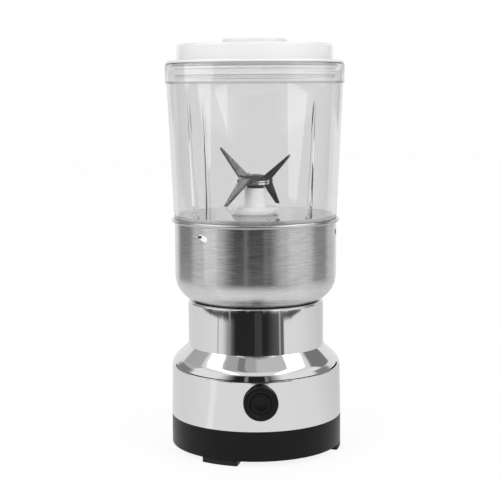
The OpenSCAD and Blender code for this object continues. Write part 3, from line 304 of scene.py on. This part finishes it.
# Width of the rounding on the sharp edges of each finer piece
EDGES = {
    "body_shell": 0.0, "steel_bowl": 0.0, "cup": 0.0, "lid": 0.0, "lid_gasket": 0.0,
    "base_pan": 0.3 * MM, "feet": 0.3 * MM, "switch_bezel": 0.0, "button_cap": 0.25 * MM,
    "blade_housing": 0.0, "blade_washers": 0.2 * MM, "blade_nut": 0.2 * MM,
    "lower_blade": 0.0, "upper_blade": 0.0, "blade_seal": 0.0,
    "cord_inlet": 0.0, "drive_coupling": 0.2 * MM, "driven_coupling": 0.2 * MM,
    "shaft_seal": 0.0, "seat_ring": 0.0, "bowl_screws": 0.0, "housing_nut": 0.2 * MM, "floor_seal": 0.0,
}

# Edges that turn by more degrees than this are sharp; the blades' cutting bevels turn by only 25
SHARP_FROM = 32.0
SHARP_FROM_ON = {"lower_blade": 14.0, "upper_blade": 14.0}


def finer(node, edge, sharp_from):
    """A finer copy that stands for a CAD node: round faces are smooth and sharp edges rounded by edge."""
    weld = 0.002 * MM
    flat = radians(0.2)
    bm = bmesh.new()
    bm.from_mesh(frame["nodes"][node].data)
    bmesh.ops.remove_doubles(bm, verts=bm.verts, dist=weld)
    bmesh.ops.dissolve_limit(bm, angle_limit=flat, verts=bm.verts, edges=bm.edges)
    bm.verts.ensure_lookup_table()
    points = [v.co.copy() for v in bm.verts]
    faces = [[v.index for v in face.verts] for face in bm.faces]
    bm.free()
    mesh = bpy.data.meshes.new(node + "_finish")
    mesh.from_pydata(points, [], faces)
    mesh.shade_smooth()
    mesh.set_sharp_from_angle(angle=radians(sharp_from))
    piece = bpy.data.objects.new(node + "_finish", mesh)
    bpy.context.scene.collection.objects.link(piece)
    mesh.materials.append(MATERIALS[SLOT_OF[node]])
    if edge:
        bevel = piece.modifiers.new("edges", "BEVEL")
        bevel.width = edge
        bevel.segments = 2
        bevel.limit_method = "ANGLE"
        bevel.angle_limit = radians(sharp_from)
    if SLOT_OF[node] != "clear_plastic":
        normals = piece.modifiers.new("normals", "WEIGHTED_NORMAL")
        normals.keep_sharp = True
    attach(piece, BODY_OF[node])
    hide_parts(node)


for node, edge in EDGES.items():
    finer(node, edge, SHARP_FROM_ON.get(node, SHARP_FROM))
for node, solid in frame["nodes"].items():
    solid.data.materials.clear()
    solid.data.materials.append(MATERIALS[SLOT_OF[node]])


# Stage

def rays(nodes):
    """Whether the stage is seen straight, through clear plastic, or in a reflection."""
    path = nodes.add("LightPath").outputs
    through = nodes.both(path["Is Transmission Ray"], nodes.none(path["Diffuse Depth"]))
    # A ray that has crossed one to three faces of clear plastic is still within the cup or its wall
    crossed, give = 2.0, 1.2
    in_cup = nodes.math("COMPARE", path["Transmission Depth"], crossed, give)
    bounced = nodes.some(path["Glossy Depth"])
    reflected = nodes.some(nodes.math("SUBTRACT", bounced, in_cup))
    return path["Is Camera Ray"], through, reflected


def mirrored_table(nodes, edge):
    """Brightness of the table in reflections and the distance on it: a dark front, back and far edge."""
    dark_from, dark_soft = 0.295, 0.02
    flare_depth, flare_full = 0.07, 0.02
    left_near, left_far, right_near, right_far = -50, -104, 43, 80
    noise_middle, unevenness = 0.5, 0.03
    place = nodes.place()
    azimuth = nodes.azimuth(nodes.parts(place))
    aside = nodes.math("ABSOLUTE", azimuth)
    distance = nodes.add("VectorMath", {0: place}, operation="LENGTH").outputs["Value"]
    ragged = nodes.math("SUBTRACT", nodes.noise(per_metre=(14, 14, 14)), noise_middle)
    away = nodes.math("ADD", distance, nodes.both(ragged, unevenness))
    far = nodes.rise(away, dark_from, dark_from + dark_soft)

    level = nodes.ramp(aside, start=60, end=150, low=0.93, high=0.80)
    level = nodes.both(level, nodes.ramp(azimuth, start=75, end=125, low=1.0, high=0.88))
    bright_strip = nodes.between(azimuth, -58.5, -55.5, soft=5)
    level = nodes.mix(level, bright_strip, value=1.05)
    thin_line = nodes.both(far, nodes.between(azimuth, -67.5, -66.5, soft=0.6))
    level = nodes.mix(level, thin_line, value=0.35)

    flare = nodes.rise(away, edge - flare_depth, edge)
    past_left = nodes.math("SUBTRACT", azimuth, nodes.mix(left_near, flare, left_far))
    before_right = nodes.math("SUBTRACT", nodes.mix(right_near, flare, right_far), azimuth)
    inside = nodes.math("MINIMUM", past_left, before_right)
    far_edge = nodes.both(nodes.ramp(inside, start=0, end=6, low=0.0, high=1.0),
                          nodes.rise(away, edge - flare_depth, edge - flare_full))
    level = nodes.mix(level, far_edge, value=0.08)

    sides = nodes.both(nodes.rise(azimuth, -68, -34),
                       nodes.ramp(azimuth, start=42, end=44, low=1.0, high=0.0))
    front = nodes.both(far, sides)
    level = nodes.mix(level, front, nodes.ramp(azimuth, start=15, end=43, low=0.025, high=0.18))
    back = nodes.rise(aside, 160, 173)
    level = nodes.mix(level, back, nodes.mix(0.3, far, value=0.06))
    for left, right, brightness in ((-47, -45, 0.35), (-4, 6, 0.06), (35.4, 36.6, 0.45)):
        stripe = nodes.both(front, nodes.between(azimuth, left, right, soft=1.5))
        level = nodes.mix(level, stripe, brightness)
    return level, away


def floor():
    """White table that keeps a soft shadow for the camera, and ends at its edge in reflections."""
    half, edge, edge_soft = 4.0, 0.53, 0.01
    paper, shadowless, white = 0.9, 0.85, 1.03
    mesh = bpy.data.meshes.new("floor")
    corners = [(-half, -half, 0), (half, -half, 0), (half, half, 0), (-half, half, 0)]
    mesh.from_pydata(corners, [], [[0, 1, 2, 3]])
    plane = bpy.data.objects.new("floor", mesh)
    bpy.context.scene.collection.objects.link(plane)
    material = bpy.data.materials.new("floor")
    material.use_nodes = True
    nodes = Nodes(material.node_tree)
    straight, through, reflected = rays(nodes)
    level, away = mirrored_table(nodes, edge)
    past_edge = nodes.ramp(away, edge, edge + edge_soft, low=0.0, high=1.0)
    mirrored = nodes.blend(past_edge, nodes.glow("Emission", level), nodes.add("BsdfTransparent"))
    shadowed = nodes.add("BsdfDiffuse", {"Color": (*grey(paper), 1)})
    shown = nodes.blend(nodes.both(straight, shadowless), shadowed, nodes.glow("Emission", white))
    shown = nodes.blend(through, shown, nodes.glow("Emission", BEHIND_GLASS))
    nodes.add("OutputMaterial", {0: nodes.blend(reflected, shown, mirrored).outputs[0]})
    mesh.materials.append(material)


def mirrored_studio(nodes):
    """What reflections see around the table: walls, dark gaps, upright and overhead softboxes."""
    dark, walls = 0.02, 0.92
    towards = nodes.parts(nodes.add("TexCoord").outputs["Generated"])
    height = towards["Z"]
    azimuth = nodes.azimuth(towards)
    aside = nodes.math("ABSOLUTE", azimuth)

    def below(top, soft):
        return nodes.fall(height, top, top + soft)

    def softbox_at(left, right, low, high):
        sides = nodes.between(azimuth, left, right, soft=1)
        return nodes.both(sides, nodes.between(height, low, high, soft=0.015))

    side_walls = nodes.both(nodes.between(aside, 32, 100, soft=6), below(0.60, soft=0.06))
    level = nodes.mix(walls, side_walls, value=1.0)
    level = nodes.mix(level, softbox_at(left=-80, right=-60, low=-0.235, high=-0.095), value=1.75)
    level = nodes.mix(level, softbox_at(left=43, right=73, low=-0.24, high=-0.06), value=1.25)
    horizon = nodes.between(height, -0.045, 0.045, soft=0.015)
    level = nodes.mix(level, nodes.both(horizon, nodes.between(aside, 0, 144, soft=4)), dark)
    corners = nodes.either(nodes.between(azimuth, -134, -110, soft=14),
                           nodes.between(azimuth, 93, 111, soft=14))
    level = nodes.mix(level, nodes.both(corners, below(0.36, soft=0.08)), value=0.28)
    back = nodes.both(nodes.between(aside, 110, 174, soft=6), nodes.between(height, 0.43, 0.69, soft=0.05))
    level = nodes.mix(level, back, nodes.ramp(towards["X"], start=-0.7, end=0.0, low=0.55, high=0.24))
    sides = nodes.both(nodes.rise(azimuth, -59, -29), nodes.fall(azimuth, 10, 37))
    front = nodes.both(sides, below(0.55, soft=0.11))
    level = nodes.mix(level, front, dark)
    for left, right in ((-17.5, -14.5), (10, 13)):
        stripe = nodes.both(front, nodes.between(azimuth, left, right, soft=2))
        level = nodes.mix(level, stripe, value=0.25)
    level = panes_on_cup(nodes, level, height, azimuth)
    return ceiling_over(nodes, level, height, towards["X"])


def panes_on_cup(nodes, level, height, azimuth):
    """The level, with what the cup's smooth outside mirrors: slanted panes, and two on its rim band."""
    dim, painted_bright = 0.15, 2.7

    def pane(low, high, top, low_sides, high_sides):
        """Softbox from low to top, whose left and right sides move between two azimuths from low to high."""
        left, right = (nodes.ramp(height, low, high, start, end)
                       for start, end in zip(low_sides, high_sides))
        past_left = nodes.math("GREATER_THAN", azimuth, left)
        before_right = nodes.math("LESS_THAN", azimuth, right)
        return nodes.both(nodes.both(past_left, before_right), nodes.between(height, low, top, soft=0.004))

    path = nodes.add("LightPath").outputs
    outside = nodes.both(path["Is Singular Ray"], nodes.none(path["Transmission Depth"]))
    around = nodes.between(azimuth, -105, 105, soft=30)
    on_cup = nodes.both(outside, nodes.both(around, nodes.fall(height, 0.35, 0.40)))
    left = pane(low=-0.135, high=-0.069, top=0.36, low_sides=(-70.5, -64.2), high_sides=(-81, -60.6))
    middle = pane(low=-0.120, high=-0.083, top=-0.083, low_sides=(-39.7, -39), high_sides=(-55, -37.8))
    right = pane(low=-0.165, high=-0.078, top=-0.078, low_sides=(43.4, 56.3), high_sides=(39, 69))
    panes = nodes.either(nodes.either(left, middle), right)
    level = nodes.mix(level, on_cup, nodes.mix(dim, panes, painted_bright))

    on_rim_band = nodes.both(on_cup, nodes.between(height, -0.05, 0.36, soft=0.01))
    left_patch = nodes.both(on_rim_band, nodes.between(azimuth, -100, -60, soft=6))
    right_patch = nodes.both(on_rim_band, nodes.between(azimuth, 58, 82, soft=28))
    level = nodes.mix(level, left_patch, value=3.5)
    return nodes.mix(level, right_patch, value=2.3)


def ceiling_over(nodes, level, height, across):
    """The level, with a grey ceiling, a darker joint in it and two long softboxes from front to back."""
    lowest, lamp = 0.05, 3.0
    slant = nodes.math("DIVIDE", across, nodes.math("MAXIMUM", height, lowest))
    ceiling = nodes.rise(height, 0.86, 0.92)
    level = nodes.mix(level, ceiling, nodes.ramp(slant, start=-0.02, end=0.02, low=0.48, high=0.66))
    joint = nodes.both(ceiling, nodes.between(slant, -0.27, -0.19, soft=0.03))
    level = nodes.mix(level, joint, value=0.26)
    softboxes = nodes.either(nodes.between(slant, -0.75, -0.53, soft=0.02),
                             nodes.between(slant, 0.48, 0.76, soft=0.02))
    overhead = nodes.ramp(height, start=0.66, end=0.70, low=0.0, high=1.0)
    return nodes.mix(level, nodes.both(softboxes, overhead), lamp)


def surroundings():
    """White to the camera, even light for matt surfaces, and the studio for reflections."""
    even, white = 0.85, 1.0
    world = bpy.data.worlds.new("studio")
    bpy.context.scene.world = world
    world.use_nodes = True
    nodes = Nodes(world.node_tree)
    straight, through, reflected = rays(nodes)
    shown = nodes.blend(through, nodes.glow("Background", even), nodes.glow("Background", BEHIND_GLASS))
    shown = nodes.blend(straight, shown, nodes.glow("Background", white))
    shown = nodes.blend(reflected, shown, nodes.glow("Background", mirrored_studio(nodes)))
    nodes.add("OutputWorld", {0: shown.outputs[0]})


def softbox(name, centre, size, radiance):
    """Square lamp that faces the grinder's middle; the reflections see the studio's softboxes instead."""
    middle = Vector((0, 0, 0.1))
    lamp = bpy.data.lights.new(name, "AREA")
    lamp.size = size
    lamp.energy = radiance * pi * size * size
    holder = bpy.data.objects.new(name, lamp)
    holder.location = centre
    aim = middle - Vector(centre)
    holder.rotation_euler = aim.to_track_quat("-Z", "Y").to_euler()
    holder.visible_glossy = False
    bpy.context.scene.collection.objects.link(holder)


def camera():
    """The photograph's camera: its place around the axis, its height and its tilt."""
    azimuth, distance, aside, height = radians(-2.5), 0.7287, 0.00327, 0.2087
    pitch, roll = radians(7.23), radians(-0.318)
    focal_pixels, picture_pixels, sensor = 1249.6, 500, 36.0
    eye = bpy.data.cameras.new("camera")
    eye.sensor_width = sensor
    eye.lens = focal_pixels / picture_pixels * sensor
    eye.clip_start = 0.01
    holder = bpy.data.objects.new("camera", eye)
    holder.location = (
        distance * sin(azimuth) - aside * cos(azimuth),
        -distance * cos(azimuth) - aside * sin(azimuth),
        height,
    )
    turn = Euler((pi / 2 - pitch, 0, azimuth), "XYZ").to_matrix() @ Euler((0, 0, roll), "XYZ").to_matrix()
    holder.rotation_euler = turn.to_euler()
    bpy.context.scene.collection.objects.link(holder)
    bpy.context.scene.camera = holder


floor()
surroundings()
softbox("left_softbox", (-0.75, -0.75, 0.65), size=0.7, radiance=1.6)
softbox("right_softbox", (0.75, -0.75, 0.65), size=0.7, radiance=1.6)
camera()
bpy.context.scene.view_settings.view_transform = "Standard"
